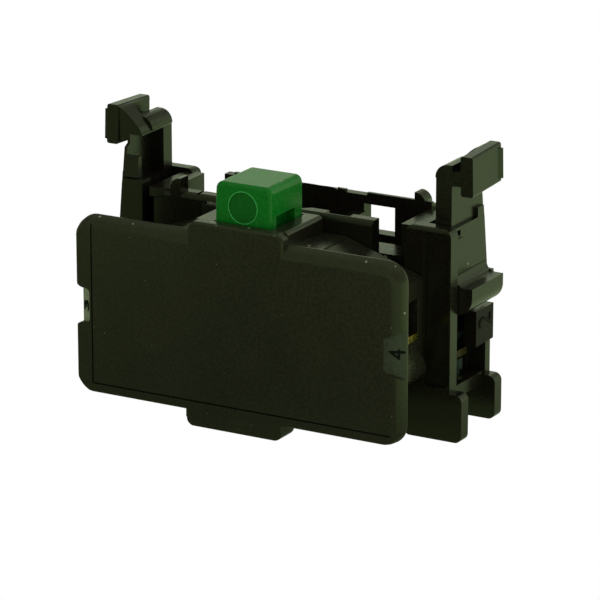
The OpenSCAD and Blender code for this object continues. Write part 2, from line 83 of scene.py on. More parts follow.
# Floor glow, painted bright behind the unit and shaded in front: a base, and further parts by direction,
# spread in metres and strength
FLOOR_TINT = (0.79, 1.0, 0.57)
FLOOR_BASE = 0.08
FLOOR_BACK = (BACK, (-0.035, 0.07), 0.54)
FLOOR_RIGHT = ((0.87, -0.50, 0.0), (0.025, 0.06), 0.40)
FLOOR_LEFT = ((-0.94, 0.34, 0.0), (0.0, 0.05), 0.22)
FLOOR_REACH = 3.0
FLOOR_STEPS = 8
FLOOR_DROP = 0.02 * MM

# Colours, linear
OLIVE_BLACK = (0.0185, 0.0136, 0.0128)
OLIVE_MATT = (0.0430, 0.0365, 0.0300)
# Lighter olive for the housing: painted sheen of its roof
OLIVE_HOUSING_SHEEN = (0.0320, 0.0270, 0.0230)
# Paler olive for the cover's digit pad: a painted reflection
OLIVE_PAD_REFLECTION = (0.085, 0.088, 0.080)
# Near-white olive for the pad in the cover's notch: painted light
OLIVE_NOTCH_PAINTED_LIGHT = (0.450, 0.470, 0.380)
# The worn edge colours here and below are partly wear, partly painted highlight
OLIVE_WORN_HIGHLIGHT = (0.060, 0.070, 0.045)
OLIVE_GLOSS = (0.80, 1.0, 0.58)
# Near black for the digits, and for the cover's seam floors as painted shade
DARK_DIGIT_AND_SEAM_SHADE = (0.004, 0.0038, 0.003)
GREEN = (0.008, 0.315, 0.032)
GREEN_WORN_HIGHLIGHT = (0.16, 0.66, 0.24)
# Pale green for the plunger mark's rim: painted highlight
GREEN_RIM_HIGHLIGHT = (0.10, 0.75, 0.20)
DEEP_GREEN = (0.006, 0.215, 0.023)
DULL_GREY = (0.045, 0.046, 0.04)
DULL_GREY_WORN_HIGHLIGHT = (0.12, 0.12, 0.11)
BRASS = (0.80, 0.58, 0.12)
BRASS_DULL = (0.10, 0.065, 0.012)
# Darker brass for the lamp bay: painted shade of the bay
BRASS_PAINTED_SHADE = (0.055, 0.036, 0.008)
BRASS_PAINTED_SHADE_DULL = (0.03, 0.02, 0.006)
ZINC = (0.12, 0.18, 0.19)
ZINC_DULL = (0.04, 0.06, 0.065)
# Darker zinc for the lamp bay: painted shade of the bay
ZINC_PAINTED_SHADE = (0.024, 0.036, 0.039)
ZINC_PAINTED_SHADE_DULL = (0.012, 0.018, 0.02)
SILVER = (0.78, 0.77, 0.74)
SILVER_DULL = (0.52, 0.50, 0.46)
STEEL = (0.46, 0.46, 0.47)
STEEL_DULL = (0.24, 0.24, 0.25)
DUST = (0.42, 0.42, 0.38)
WHITE = (1.0, 1.0, 1.0)

# Grain of the mouldings, in cells per metre, and the tone that changes with it
BLACK_GRAIN = 5200.0
GREEN_GRAIN = 4200.0
GREY_GRAIN = 4800.0
FINER_GRAIN = 2.7
FINER_SHARE = 0.6
GRAIN_STRENGTH = 0.35
GRAIN_DEPTH = 0.02 * MM
SLOW_TONE = 160.0
SLOW_SHARE = 0.3
BLOTCH_TONE = 2400.0
BLOTCH_SHARE = 0.7
TONE_SPREAD = (0.33, 0.68)
TONE_DEEP = 0.84
TONE_PALE = 1.16
MATT_CHANGE = 0.12

# Rubbed edges, painted paler: partly wear, partly painted highlight
RUB_HIGHLIGHT_SAMPLES = 6
RUB_HIGHLIGHT_SPREAD = (0.015, 0.2)
RUB_HIGHLIGHT_PATCHES = 900.0
PLASTIC_RUB_HIGHLIGHT = 0.22 * MM
PLASTIC_BREAK = 0.7
METAL_RUB_HIGHLIGHT = 0.12 * MM
METAL_BREAK = 0.4
METAL_EDGE_HIGHLIGHT = 1.25

# Dust, and the rolling lines and dull patches of metal
DUST_CELLS = 650.0
DUST_SIZE = 0.17
DUST_AMOUNT = 0.3
DULL_PATCHES = 900.0
DULL_SPREAD = (0.38, 0.66)
DULL_CHANGE = 0.2
ROLLED_LINES = 6.0
ROLLED_STRETCH = (0.06, 1.0, 1.0)
ROLLED_STRENGTH = 0.25
ROLLED_DEPTH = 0.01 * MM

# Edges: radius of each rounded solid in millimetres, and how flat and sharp places are told apart
EDGE_RADII = {
    "contact_cover": 0.12, "contact_housing": 0.1, "carrier_frame": 0.08,
    "clip_arm_left": 0.07, "clip_arm_right": 0.07, "plunger": 0.1, "lamp_base": 0.15,
    "fixed_contact_left": 0.1, "fixed_contact_right": 0.1,
    "terminal_clamp_left": 0.12, "terminal_clamp_right": 0.12,
    "terminal_screw_left": 0.1, "terminal_screw_right": 0.1,
    "lamp_strip_left": 0.1, "lamp_strip_right": 0.1,
    "lamp_clamp_left": 0.12, "lamp_clamp_right": 0.12,
    "lamp_screw_left": 0.1, "lamp_screw_right": 0.1,
    "contact_bridge": 0.08, "lamp_sleeve": 0.06, "lamp_contact": 0.08,
}
EDGE_STEPS = 2
SHARP_TURN = math.radians(34)
FLAT_TURN = math.radians(1.0)
FLAT_WEIGHT = 80
WELD_REACH = 0.002 * MM
SAME_PLACE = 0.001 * MM
SAME_FACING = 0.999

# Solids whose finish isn't the plain one of their material
OWN_FINISHES = {
    # The housing's lighter finish is a painted sheen
    "contact_cover": "cover_plastic", "contact_housing": "housing_painted_sheen",
    # The lamp bay's strips, clamps and screws get darker copies of brass and zinc: painted shade
    "lamp_strip_left": "shade_painted_brass", "lamp_strip_right": "shade_painted_brass",
    "lamp_clamp_left": "shade_painted_zinc", "lamp_clamp_right": "shade_painted_zinc",
    "lamp_screw_left": "shade_painted_zinc", "lamp_screw_right": "shade_painted_zinc",
}

# Cover: left-hand corners that are cut rounder, each with x, z and radius in millimetres and its way up
COVER_CORNERS = ((-23.05, 1.95, 3.2, 1), (-23.05, 15.4, 1.2, 1), (-23.05, 11.0, 1.1, -1))
CORNER_STEPS = 10
CORNER_OUT = 1.0
CORNER_PAST = 0.2
COVER_FRONT = -11.0
COVER_BACK = -8.5
SEAM_DEPTHS = (0.1 * MM, 0.25 * MM)
PAD_SLOPE = math.atan2(1.35, 2.9)
PAD_WIDTH = 2.5 * MM

# Sloping pad in the cover's notch, in millimetres
NOTCH_WALL = -20.9
NOTCH_TIP = -22.24
NOTCH_FRONT = -10.46
NOTCH_MIDDLE = -9.88
NOTCH_BACK = -9.5
NOTCH_LOW = 10.95
NOTCH_HIGH = 15.3

# Plunger: the rolled edges of its front and the sunk round mark
FRONT_ROLL = 0.4 * MM
FRONT_STEPS = 4
FRONT_LOW = 20 * MM
UPRIGHT_SHARE = 0.25
MARK_RADIUS = 2.0 * MM
MARK_MIDDLE = Vector((-0.05, -8.78, 28.2)) * MM
MARK_CLEAR = 0.2 * MM
MARK_GAP = 0.02 * MM
MARK_DEPTHS = (0.06 * MM, 0.2 * MM)
MARK_RIM = 0.07 * MM

# Ejector ring, and how finely rings are made
EJECTOR_MIDDLE = Vector((20.7, -3.3, 9.5)) * MM
EJECTOR_RADIUS = 0.55 * MM
EJECTOR_RIM = 0.06 * MM
RING_STEPS = 48
RIM_STEPS = 8

# Carrier: the y of its half turn in millimetres, and its lamp terminal plates
CARRIER_MIDDLE = 5.15
PLATE_FACE = 23.9 * MM
PLATE_FACING = 0.9
PLATE_HEIGHTS = (10 * MM, 15.2 * MM)

# Digits: width and height, and where each stands, with the place on the right-hand plate in millimetres
DIGIT_BLANK = 0.01
DIGIT_RELIEF = 0.12 * MM
PAD_DIGIT = (1.25 * MM, 2.0 * MM)
PAD_DIGIT_IN = 1.05 * MM
PAD_DIGIT_UP = 13.5 * MM
NOTCH_DIGIT = (1.3 * MM, 0.9 * MM)
RIGHT_PLATE_DIGIT = (1.5 * MM, 3.2 * MM)
LEFT_PLATE_DIGIT = (0.9 * MM, 3.2 * MM)
PLATE_DIGIT_PLACE = (24.05, 8.2, 13.2)

# Clip arms, in millimetres: barb by the height and far edge of its ends, skin tip by its y and z corners
GRIP_FACE = 25.5
BARB_ENDS = ((31.2, 9.15), (35.0, 8.98))
BARB_LENGTH = 1.1
BARB_POINT = 0.1
BARB_PROUD = 0.35
BARB_SUNK = 0.1
SKIN_TIP = ((9.58, 26.1), (9.42, 27.4), (7.9, 27.4), (7.9, 26.1))
SKIN_FACES = (22.6, 23.08)


# Shader nodes

def new_group(name, inputs, outputs):
    """An empty shader group with value inputs and the named outputs."""
    tree = bpy.data.node_groups.new(name, "ShaderNodeTree")
    for label, value in inputs:
        socket = tree.interface.new_socket(label, in_out="INPUT", socket_type="NodeSocketFloat")
        socket.default_value = value
    for label in outputs:
        tree.interface.new_socket(label, in_out="OUTPUT", socket_type="NodeSocketFloat")
    return tree, tree.nodes.new("NodeGroupInput"), tree.nodes.new("NodeGroupOutput")


def feed(tree, socket, value):
    """Links a socket to another one, or sets it to a fixed value."""
    if isinstance(value, bpy.types.NodeSocket):
        tree.links.new(value, socket)
    else:
        socket.default_value = value


def math_node(tree, operation, first, second):
    """A Math node whose inputs are sockets or plain numbers."""
    node = tree.nodes.new("ShaderNodeMath")
    node.operation = operation
    feed(tree, node.inputs[0], first)
    feed(tree, node.inputs[1], second)
    return node.outputs[0]


def total(tree, first, second):
    """The sum of two sockets or numbers."""
    return math_node(tree, "ADD", first, second)


def product(tree, first, second):
    """One socket or number times another."""
    return math_node(tree, "MULTIPLY", first, second)


def rest_of_one(tree, value):
    """What a value leaves of 1."""
    return math_node(tree, "SUBTRACT", 1.0, value)


def ramp(tree, value, spread):
    """A smooth step from 0 to 1 between the two ends of the spread."""
    node = tree.nodes.new("ShaderNodeMapRange")
    node.interpolation_type = "SMOOTHSTEP"
    low, high = spread
    node.inputs["From Min"].default_value = low
    node.inputs["From Max"].default_value = high
    tree.links.new(value, node.inputs["Value"])
    return node.outputs["Result"]


def noise(tree, place, scale, detail):
    """Noise over the given coordinates."""
    node = tree.nodes.new("ShaderNodeTexNoise")
    node.inputs["Detail"].default_value = detail
    tree.links.new(place, node.inputs["Vector"])
    feed(tree, node.inputs["Scale"], scale)
    return node.outputs["Fac"]


def own_place(tree):
    """Coordinates that stay with the piece when it moves."""
    return tree.nodes.new("ShaderNodeTexCoord").outputs["Object"]


def directed(tree, vector, direction):
    """How far a vector runs along a direction, which is a socket or fixed."""
    node = tree.nodes.new("ShaderNodeVectorMath")
    node.operation = "DOT_PRODUCT"
    tree.links.new(vector, node.inputs[0])
    feed(tree, node.inputs[1], direction)
    return node.outputs["Value"]


# Shader groups that several finishes share

def make_grain_group():
    """Spark-eroded mould texture: a fine height, and a change of tone over the surface."""
    tree, inside, outside = new_group("moulded_grain", [("Scale", BLACK_GRAIN)], ["Height", "Tone"])
    place = own_place(tree)
    scale = inside.outputs["Scale"]
    fine = noise(tree, place, scale, detail=3.0)
    finer = noise(tree, place, product(tree, scale, FINER_GRAIN), detail=2.0)
    tree.links.new(total(tree, fine, product(tree, finer, FINER_SHARE)), outside.inputs["Height"])
    slow = product(tree, noise(tree, place, SLOW_TONE, detail=4.0), SLOW_SHARE)
    blotch = product(tree, noise(tree, place, BLOTCH_TONE, detail=3.0), BLOTCH_SHARE)
    tree.links.new(ramp(tree, total(tree, slow, blotch), TONE_SPREAD), outside.inputs["Tone"])
    return tree


def make_rubbed_highlit_group():
    """Rubbed edges, partly wear and partly painted highlight: where the surface turns within the radius,
    broken up by noise.
    """
    inputs = [("Radius", PLASTIC_RUB_HIGHLIGHT), ("Break", PLASTIC_BREAK)]
    tree, inside, outside = new_group("rubbed_highlit_edges", inputs, ["Mask"])
    rounded = tree.nodes.new("ShaderNodeBevel")
    rounded.samples = RUB_HIGHLIGHT_SAMPLES
    tree.links.new(inside.outputs["Radius"], rounded.inputs["Radius"])
    surface = tree.nodes.new("ShaderNodeNewGeometry")
    alike = directed(tree, rounded.outputs["Normal"], surface.outputs["Normal"])
    edge = ramp(tree, rest_of_one(tree, alike), RUB_HIGHLIGHT_SPREAD)
    patches = noise(tree, own_place(tree), RUB_HIGHLIGHT_PATCHES, detail=4.0)
    kept = rest_of_one(tree, product(tree, patches, inside.outputs["Break"]))
    tree.links.new(product(tree, edge, kept), outside.inputs["Mask"])
    return tree


def make_dust_group():
    """Sparse pale specks of dust."""
    inputs = [("Scale", DUST_CELLS), ("Size", DUST_SIZE), ("Amount", DUST_AMOUNT)]
    tree, inside, outside = new_group("dust_specks", inputs, ["Mask"])
    cells = tree.nodes.new("ShaderNodeTexVoronoi")
    tree.links.new(own_place(tree), cells.inputs["Vector"])
    tree.links.new(inside.outputs["Scale"], cells.inputs["Scale"])
    share = tree.nodes.new("ShaderNodeSeparateColor")
    tree.links.new(cells.outputs["Color"], share.inputs["Color"])
    reach = product(tree, inside.outputs["Size"], share.outputs["Green"])
    near = math_node(tree, "LESS_THAN", cells.outputs["Distance"], reach)
    some = math_node(tree, "LESS_THAN", share.outputs["Red"], inside.outputs["Amount"])
    tree.links.new(product(tree, near, some), outside.inputs["Mask"])
    return tree


def make_rolled_group():
    """Fine rolling lines and dull patches on sheet metal and wire."""
    tree, inside, outside = new_group("rolled_metal", [("Scale", DULL_PATCHES)], ["Height", "Dull"])
    place = own_place(tree)
    scale = inside.outputs["Scale"]
    stretch = tree.nodes.new("ShaderNodeMapping")
    stretch.inputs["Scale"].default_value = ROLLED_STRETCH
    tree.links.new(place, stretch.inputs["Vector"])
    lines = noise(tree, stretch.outputs["Vector"], product(tree, scale, ROLLED_LINES), detail=3.0)
    tree.links.new(lines, outside.inputs["Height"])
    dull = ramp(tree, noise(tree, place, scale, detail=5.0), DULL_SPREAD)
    tree.links.new(dull, outside.inputs["Dull"])
    return tree


GRAIN = make_grain_group()
RUB_HIGHLIGHT = make_rubbed_highlit_group()
SPECKS = make_dust_group()
ROLLED = make_rolled_group()


# Finishes

def new_material(name):
    """A material with its node tree and its main shader."""
    material = bpy.data.materials.new(name)
    material.use_nodes = True
    tree = material.node_tree
    return material, tree, tree.nodes["Principled BSDF"]


def placed(tree, group, **values):
    """A copy of a shared group in a material, with its own values."""
    node = tree.nodes.new("ShaderNodeGroup")
    node.node_tree = group
    for label, value in values.items():
        node.inputs[label].default_value = value
    return node


def opaque(colour):
    """A colour as a socket takes it."""
    return (*colour, 1.0)


def layered(tree, mask, under, over):
    """A fixed colour over another colour where the mask is 1."""
    node = tree.nodes.new("ShaderNodeMix")
    node.data_type = "RGBA"
    tree.links.new(mask, node.inputs["Factor"])
    feed(tree, node.inputs["A"], under)
    node.inputs["B"].default_value = opaque(over)
    return node.outputs["Result"]


def bumped(tree, height, strength, distance):
    """A normal that follows a fine height."""
    node = tree.nodes.new("ShaderNodeBump")
    node.inputs["Strength"].default_value = strength
    node.inputs["Distance"].default_value = distance
    tree.links.new(height, node.inputs["Height"])
    return node.outputs["Normal"]


def scaled(colour, share):
    """A darker or brighter shade of a colour."""
    return tuple(min(1.0, share * part) for part in colour)


def moulded_plastic(name, colour, worn_highlight, gloss, shine, roughness, wear_highlight, dust, grain=BLACK_GRAIN):
    """Moulded thermoplastic with fine grain, rubbed edges painted paler as wear and painted highlight, and a
    little dust.
    """
    material, tree, shader = new_material(name)
    texture = placed(tree, GRAIN, Scale=grain)
    edges = placed(tree, RUB_HIGHLIGHT, Radius=PLASTIC_RUB_HIGHLIGHT, Break=PLASTIC_BREAK)
    specks = placed(tree, SPECKS, Amount=dust)
    tone = texture.outputs["Tone"]
    base = layered(tree, tone, opaque(scaled(colour, TONE_DEEP)), scaled(colour, TONE_PALE))
    # Edges painted paler: partly wear, partly painted highlight
    rubbed_highlit = layered(tree, product(tree, edges.outputs["Mask"], wear_highlight), base, worn_highlight)
    dusty = layered(tree, specks.outputs["Mask"], rubbed_highlit, DUST)
    tree.links.new(dusty, shader.inputs["Base Color"])
    matt = total(tree, product(tree, tone, MATT_CHANGE), roughness - MATT_CHANGE / 2)
    tree.links.new(matt, shader.inputs["Roughness"])
    normal = bumped(tree, texture.outputs["Height"], GRAIN_STRENGTH, GRAIN_DEPTH)
    tree.links.new(normal, shader.inputs["Normal"])
    shader.inputs["Specular IOR Level"].default_value = shine
    shader.inputs["Specular Tint"].default_value = opaque(gloss)
    return material


def worked_metal(name, colour, dull, roughness):
    """Sheet metal or wire with rolling lines, dull patches and rubbed edges painted brighter as wear and
    painted highlight.
    """
    material, tree, shader = new_material(name)
    texture = placed(tree, ROLLED)
    edges = placed(tree, RUB_HIGHLIGHT, Radius=METAL_RUB_HIGHLIGHT, Break=METAL_BREAK)
    base = layered(tree, texture.outputs["Dull"], opaque(colour), dull)
    # Edges painted brighter: partly wear, partly painted highlight
    rubbed_highlit = layered(tree, edges.outputs["Mask"], base, scaled(colour, METAL_EDGE_HIGHLIGHT))
    tree.links.new(rubbed_highlit, shader.inputs["Base Color"])
    matt = total(tree, product(tree, texture.outputs["Dull"], DULL_CHANGE), roughness)
    tree.links.new(matt, shader.inputs["Roughness"])
    normal = bumped(tree, texture.outputs["Height"], ROLLED_STRENGTH, ROLLED_DEPTH)
    tree.links.new(normal, shader.inputs["Normal"])
    shader.inputs["Metallic"].default_value = 1.0
    return material


FINISHES = {
    "black_plastic": moulded_plastic(
        "olive_black_plastic", OLIVE_BLACK, OLIVE_WORN_HIGHLIGHT, OLIVE_GLOSS,
        shine=0.44, roughness=0.22, wear_highlight=0.2, dust=0.05),
    "cover_plastic": moulded_plastic(
        "matt_olive_plastic", OLIVE_MATT, OLIVE_WORN_HIGHLIGHT, OLIVE_GLOSS,
        shine=0.5, roughness=0.28, wear_highlight=0.2, dust=0.9),
    # Lighter colour for the housing: painted sheen
    "housing_painted_sheen": moulded_plastic(
        "olive_housing_painted_sheen", OLIVE_HOUSING_SHEEN, OLIVE_WORN_HIGHLIGHT, OLIVE_GLOSS,
        shine=0.6, roughness=0.22, wear_highlight=0.2, dust=0.1),
    "pad_painted_reflection": moulded_plastic(
        "pale_pad_painted_reflection", OLIVE_PAD_REFLECTION, OLIVE_WORN_HIGHLIGHT, OLIVE_GLOSS,
        shine=0.5, roughness=0.3, wear_highlight=0.2, dust=0.0),
    "notch_painted_light": moulded_plastic(
        "pale_notch_painted_light", OLIVE_NOTCH_PAINTED_LIGHT, OLIVE_WORN_HIGHLIGHT, OLIVE_GLOSS,
        shine=0.5, roughness=0.3, wear_highlight=0.1, dust=0.0),
    "green_plastic": moulded_plastic(
        "green_plastic", GREEN, GREEN_WORN_HIGHLIGHT, WHITE,
        shine=0.32, roughness=0.22, wear_highlight=0.7, dust=0.05, grain=GREEN_GRAIN),
    "green_rim_highlight": moulded_plastic(
        "green_rim_highlight_edge", GREEN_RIM_HIGHLIGHT, GREEN_WORN_HIGHLIGHT, WHITE,
        shine=0.4, roughness=0.3, wear_highlight=0.2, dust=0.0, grain=GREEN_GRAIN),
    "deep_green": moulded_plastic(
        "deep_green_mark", DEEP_GREEN, GREEN, WHITE,
        shine=0.25, roughness=0.45, wear_highlight=0.0, dust=0.0, grain=GREEN_GRAIN),
    "dark_digit_and_seam_shade": moulded_plastic(
        "dark_digit_and_seam_shade", DARK_DIGIT_AND_SEAM_SHADE, OLIVE_BLACK, WHITE,
        shine=0.2, roughness=0.7, wear_highlight=0.1, dust=0.0),
    "matt_black": moulded_plastic(
        "matt_black_plate", OLIVE_BLACK, OLIVE_WORN_HIGHLIGHT, WHITE,
        shine=0.3, roughness=0.7, wear_highlight=0.1, dust=0.1),
    "grey_plastic": moulded_plastic(
        "dull_grey_plastic", DULL_GREY, DULL_GREY_WORN_HIGHLIGHT, WHITE,
        shine=0.5, roughness=0.6, wear_highlight=0.3, dust=0.1, grain=GREY_GRAIN),
    "brass": worked_metal("brass_strip", BRASS, BRASS_DULL, roughness=0.16),
    "shade_painted_brass": worked_metal("shade_painted_brass_strip", BRASS_PAINTED_SHADE, BRASS_PAINTED_SHADE_DULL, roughness=0.4),
    "shade_painted_zinc": worked_metal("shade_painted_zinc_plate", ZINC_PAINTED_SHADE, ZINC_PAINTED_SHADE_DULL, roughness=0.4),
    "silver": worked_metal("silver_tip", SILVER, SILVER_DULL, roughness=0.3),
    "plated_steel": worked_metal("zinc_plated_steel", ZINC, ZINC_DULL, roughness=0.28),
    "spring_steel": worked_metal("spring_wire", STEEL, STEEL_DULL, roughness=0.3),
}


# Pieces

NODE_SLOTS = {part["node"]: part["material_slot"] for part in frame["record"]["subparts"]}
NODE_BODIES = {node: body for body, nodes in frame["record"]["behaviour"]["bodies"].items() for node in nodes}


def new_piece(name, mesh):
    """An object in the scene that shows a mesh."""
    piece = bpy.data.objects.new(name, mesh)
    bpy.context.scene.collection.objects.link(piece)
    return piece


def finish_piece(piece, slot, body, finish=None):
    """Gives a new piece its finish and the body that it moves with."""
    piece.data.materials.clear()
    piece.data.materials.append(FINISHES[finish or slot])
    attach(piece, body)


def more_finish(piece, finish):
    """Gives a piece one more finish, and says which of its finishes that is."""
    piece.data.materials.append(FINISHES[finish])
    return len(piece.data.materials) - 1


def made_mesh(name, work):
    """The mesh that was worked on, with all its faces outwards."""
    bmesh.ops.recalc_face_normals(work, faces=work.faces)
    mesh = bpy.data.meshes.new(name)
    work.to_mesh(mesh)
    work.free()
    return mesh


def shown_mesh(maker):
    """The mesh that an object shows once its modifiers or outlines are worked out."""
    bpy.context.view_layer.update()
    return bpy.data.meshes.new_from_object(maker.evaluated_get(bpy.context.evaluated_depsgraph_get()))


def joined_ends(name, start, end):
    """A mesh between two outlines with the same number of corners."""
    work = bmesh.new()
    first = [work.verts.new(corner) for corner in start]
    last = [work.verts.new(corner) for corner in end]
    work.faces.new(first)
    work.faces.new(last)
    for k in range(len(first)):
        follow = (k + 1) % len(first)
        work.faces.new((first[k], first[follow], last[follow], last[k]))
    return made_mesh(name, work)


def half_turned(corners, side):
    """Corners in millimetres on the carrier's right-hand side, or turned half round onto its left."""
    turned = []
    for x, y, z in corners:
        turned.append(Vector((side * x, CARRIER_MIDDLE + side * (y - CARRIER_MIDDLE), z)) * MM)
    return turned


# Solids with rounded edges

def welded_copy(node, name):
    """A copy of a solid's mesh with its facets joined and its flat faces whole."""
    mesh = bpy.data.meshes.new(name)
    work = bmesh.new()
    work.from_mesh(frame["nodes"][node].data)
    bmesh.ops.remove_doubles(work, verts=work.verts, dist=WELD_REACH)
    bmesh.ops.dissolve_limit(work, angle_limit=FLAT_TURN, verts=work.verts, edges=work.edges)
    work.to_mesh(mesh)
    work.free()
    return mesh


def roll_front_edges(piece):
    """Rounds the outer edges of the plunger's front face more than its other edges."""
    mesh = piece.data
    front = min(vertex.co.y for vertex in mesh.vertices)
    weights = mesh.attributes.new("bevel_weight_edge", "FLOAT", "EDGE")
    for edge in mesh.edges:
        ends = [mesh.vertices[i].co for i in edge.vertices]
        behind = max(abs(end.y - front) for end in ends) > SAME_PLACE
        under = min(end.z for end in ends) < FRONT_LOW
        of_mark = min((end - MARK_MIDDLE).xz.length for end in ends) < MARK_RADIUS + MARK_CLEAR
        if behind or under or of_mark:
            continue
        upright = abs(ends[0].x - ends[1].x) < SAME_PLACE
        weights.data[edge.index].value = UPRIGHT_SHARE if upright else 1.0
    bevel = piece.modifiers.new("front", "BEVEL")
    bevel.width = FRONT_ROLL
    bevel.segments = FRONT_STEPS
    bevel.limit_method = "WEIGHT"


def corner_cutter(name, x, z, radius, way):
    """What lies outside a rounded corner, as deep as the cover."""
    outline = []
    for i in range(CORNER_STEPS + 1):
        turn = math.pi / 2 * i / CORNER_STEPS
        outline.append((x + radius * (1 - math.cos(turn)), z + way * radius * (1 - math.sin(turn))))
    past = z - way * CORNER_PAST
    outside = x - CORNER_OUT
    outline += [(x + radius, past), (outside, past), (outside, z + way * radius)]
    ends = [[Vector((a, y, b)) * MM for a, b in outline] for y in (COVER_FRONT, COVER_BACK)]
    return new_piece(name, joined_ends(name, *ends))


def trimmed_cover(mesh):
    """The cover's mesh with the corners of its left edge rounded."""
    blank = new_piece("cover_blank", mesh)
    cutters = []
    for i, corner in enumerate(COVER_CORNERS):
        cutter = corner_cutter("cover_cutter_" + str(i), *corner)
        cut = blank.modifiers.new(cutter.name, "BOOLEAN")
        cut.operation = "DIFFERENCE"
        cut.solver = "EXACT"
        cut.object = cutter
        cutters.append(cutter)
    trimmed = shown_mesh(blank)
    for maker in [blank] + cutters:
        bpy.data.objects.remove(maker)
    return trimmed


def softened(node, radius):
    """A solid with its edges rounded as a mould or press leaves them."""
    mesh = welded_copy(node, node + "_soft")
    if node == "contact_cover":
        mesh = trimmed_cover(mesh)
    piece = new_piece(node + "_soft", mesh)
    mesh.shade_smooth()
    mesh.set_sharp_from_angle(angle=SHARP_TURN)
    if node == "plunger":
        roll_front_edges(piece)
    bevel = piece.modifiers.new("edges", "BEVEL")
    bevel.width = radius
    bevel.segments = EDGE_STEPS
    bevel.limit_method = "ANGLE"
    bevel.angle_limit = SHARP_TURN
    bevel.miter_outer = "MITER_ARC"
    smooth = piece.modifiers.new("normals", "WEIGHTED_NORMAL")
    smooth.keep_sharp = True
    smooth.weight = FLAT_WEIGHT
    finish_piece(piece, NODE_SLOTS[node], NODE_BODIES[node], OWN_FINISHES.get(node))
    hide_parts(node)
    return piece


def dress_carrier(piece):
    """The two lamp terminal plates have a matt face."""
    matt = more_finish(piece, "matt_black")
    low, high = PLATE_HEIGHTS
    for face in piece.data.polygons:
        outward = face.normal.x * face.center.x > PLATE_FACING * PLATE_FACE
        if outward and abs(face.center.x) > PLATE_FACE and low < face.center.z < high:
            face.material_index = matt


def dress_cover(piece):
    """The cover's sloping digit pad gets a paler colour, a painted reflection, and the floor of its seams is
    painted dark as shade.
    """
    pad_reflection = more_finish(piece, "pad_painted_reflection")
    seam_shade = more_finish(piece, "dark_digit_and_seam_shade")
    facing = Vector((math.sin(PAD_SLOPE), -math.cos(PAD_SLOPE), 0))
    front = min(vertex.co.y for vertex in piece.data.vertices)
    for face in piece.data.polygons:
        depth = face.center.y - front
        # The pad's paler finish is a painted reflection
        if face.normal.dot(facing) > SAME_FACING:
            face.material_index = pad_reflection
        # Seam floors painted near black: painted shade in the groove
        elif face.normal.y < -SAME_FACING and SEAM_DEPTHS[0] < depth < SEAM_DEPTHS[1]:
            face.material_index = seam_shade


def make_softened():
    """All solids with rounded edges, in their finishes."""
    for node, radius in EDGE_RADII.items():
        piece = softened(node, radius * MM)
        if node == "carrier_frame":
            dress_carrier(piece)
        if node == "contact_cover":
            dress_cover(piece)


def dress_tips(node):
    """Contact tips keep their own mesh and get their finish."""
    solid = frame["nodes"][node]
    solid.data.materials.clear()
    solid.data.materials.append(FINISHES[NODE_SLOTS[node]])


# Springs


def wound_spring(node):
    """A spring as a smooth copy of its solid, in its finish and moving with its body."""
    piece = new_piece(node + "_wire", welded_copy(node, node + "_wire"))
    piece.data.shade_smooth()
    finish_piece(piece, NODE_SLOTS[node], NODE_BODIES[node])
    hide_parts(node)
    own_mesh(piece)


def make_springs():
    """The springs under the plunger's stem, on the bridge and under the lamp's centre contact."""
    wound_spring("plunger_spring")
    wound_spring("contact_spring")
    wound_spring("lamp_contact_spring")


# Digits, marks and small trim

def raised_digit(name, digit, size, middle, up):
    """A moulded digit that reads upwards on a face, with its top towards the given direction."""
    curve = bpy.data.curves.new(name, "FONT")
    curve.body = digit
    curve.extrude = DIGIT_BLANK
    maker = new_piece(name + "_outline", curve)
    mesh = shown_mesh(maker)
    bpy.data.objects.remove(maker)
    low = Vector([min(vertex.co[i] for vertex in mesh.vertices) for i in range(3)])
    high = Vector([max(vertex.co[i] for vertex in mesh.vertices) for i in range(3)])
    blank = high - low
    across = Vector(UPWARD)
    up = Vector(up).normalized()
    turn = Matrix((across, up, across.cross(up))).transposed().to_4x4()
    fit = Matrix.Diagonal((size[0] / blank.x, size[1] / blank.y, 2 * DIGIT_RELIEF / blank.z, 1.0))
    mesh.transform(Matrix.Translation(middle) @ turn @ fit @ Matrix.Translation(-(low + high) / 2))
    mesh.name = name
    finish_piece(new_piece(name, mesh), "black_plastic", "carrier", "dark_digit_and_seam_shade")


def make_digits():
    """The digits on the cover's sloping pad and on the two lamp terminal plates."""
    low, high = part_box("contact_cover")
    pad_y = low.y + (PAD_WIDTH - PAD_DIGIT_IN) * math.tan(PAD_SLOPE)
    pad_place = (high.x - PAD_DIGIT_IN, pad_y, PAD_DIGIT_UP)
    raised_digit("digit_4", "4", PAD_DIGIT, pad_place, (-math.cos(PAD_SLOPE), -math.sin(PAD_SLOPE), 0))
    plates = (("digit_2", "2", RIGHT_PLATE_DIGIT, 1), ("digit_1", "1", LEFT_PLATE_DIGIT, -1))
    for name, digit, size, side in plates:
        middle = half_turned([PLATE_DIGIT_PLACE], side)[0]
        raised_digit(name, digit, size, middle, (0, -side, 0))


def around_circle(steps):
    """Equal angles round a full turn."""
    return [2 * math.pi * i / steps for i in range(steps)]


def ring_mark(name, slot, body, middle, facing, radius, rim, finish=None):
    """A thin raised ring that an ejector pin leaves on a moulding."""
    work = bmesh.new()
    facing = Vector(facing)
    first = facing.orthogonal().normalized()
    second = facing.cross(first)
    loops = []
    for angle in around_circle(RING_STEPS):
        out = first * math.cos(angle) + second * math.sin(angle)
        loop = []
        for turn in around_circle(RIM_STEPS):
            place = middle + out * (radius + rim * math.cos(turn)) + facing * rim * math.sin(turn)
            loop.append(work.verts.new(place))
        loops.append(loop)
    for i in range(RING_STEPS):
        here = loops[i]
        there = loops[(i + 1) % RING_STEPS]
        for k in range(RIM_STEPS):
            follow = (k + 1) % RIM_STEPS
            work.faces.new((here[k], there[k], there[follow], here[follow]))
    mesh = made_mesh(name, work)
    mesh.shade_smooth()
    finish_piece(new_piece(name, mesh), slot, body, finish)


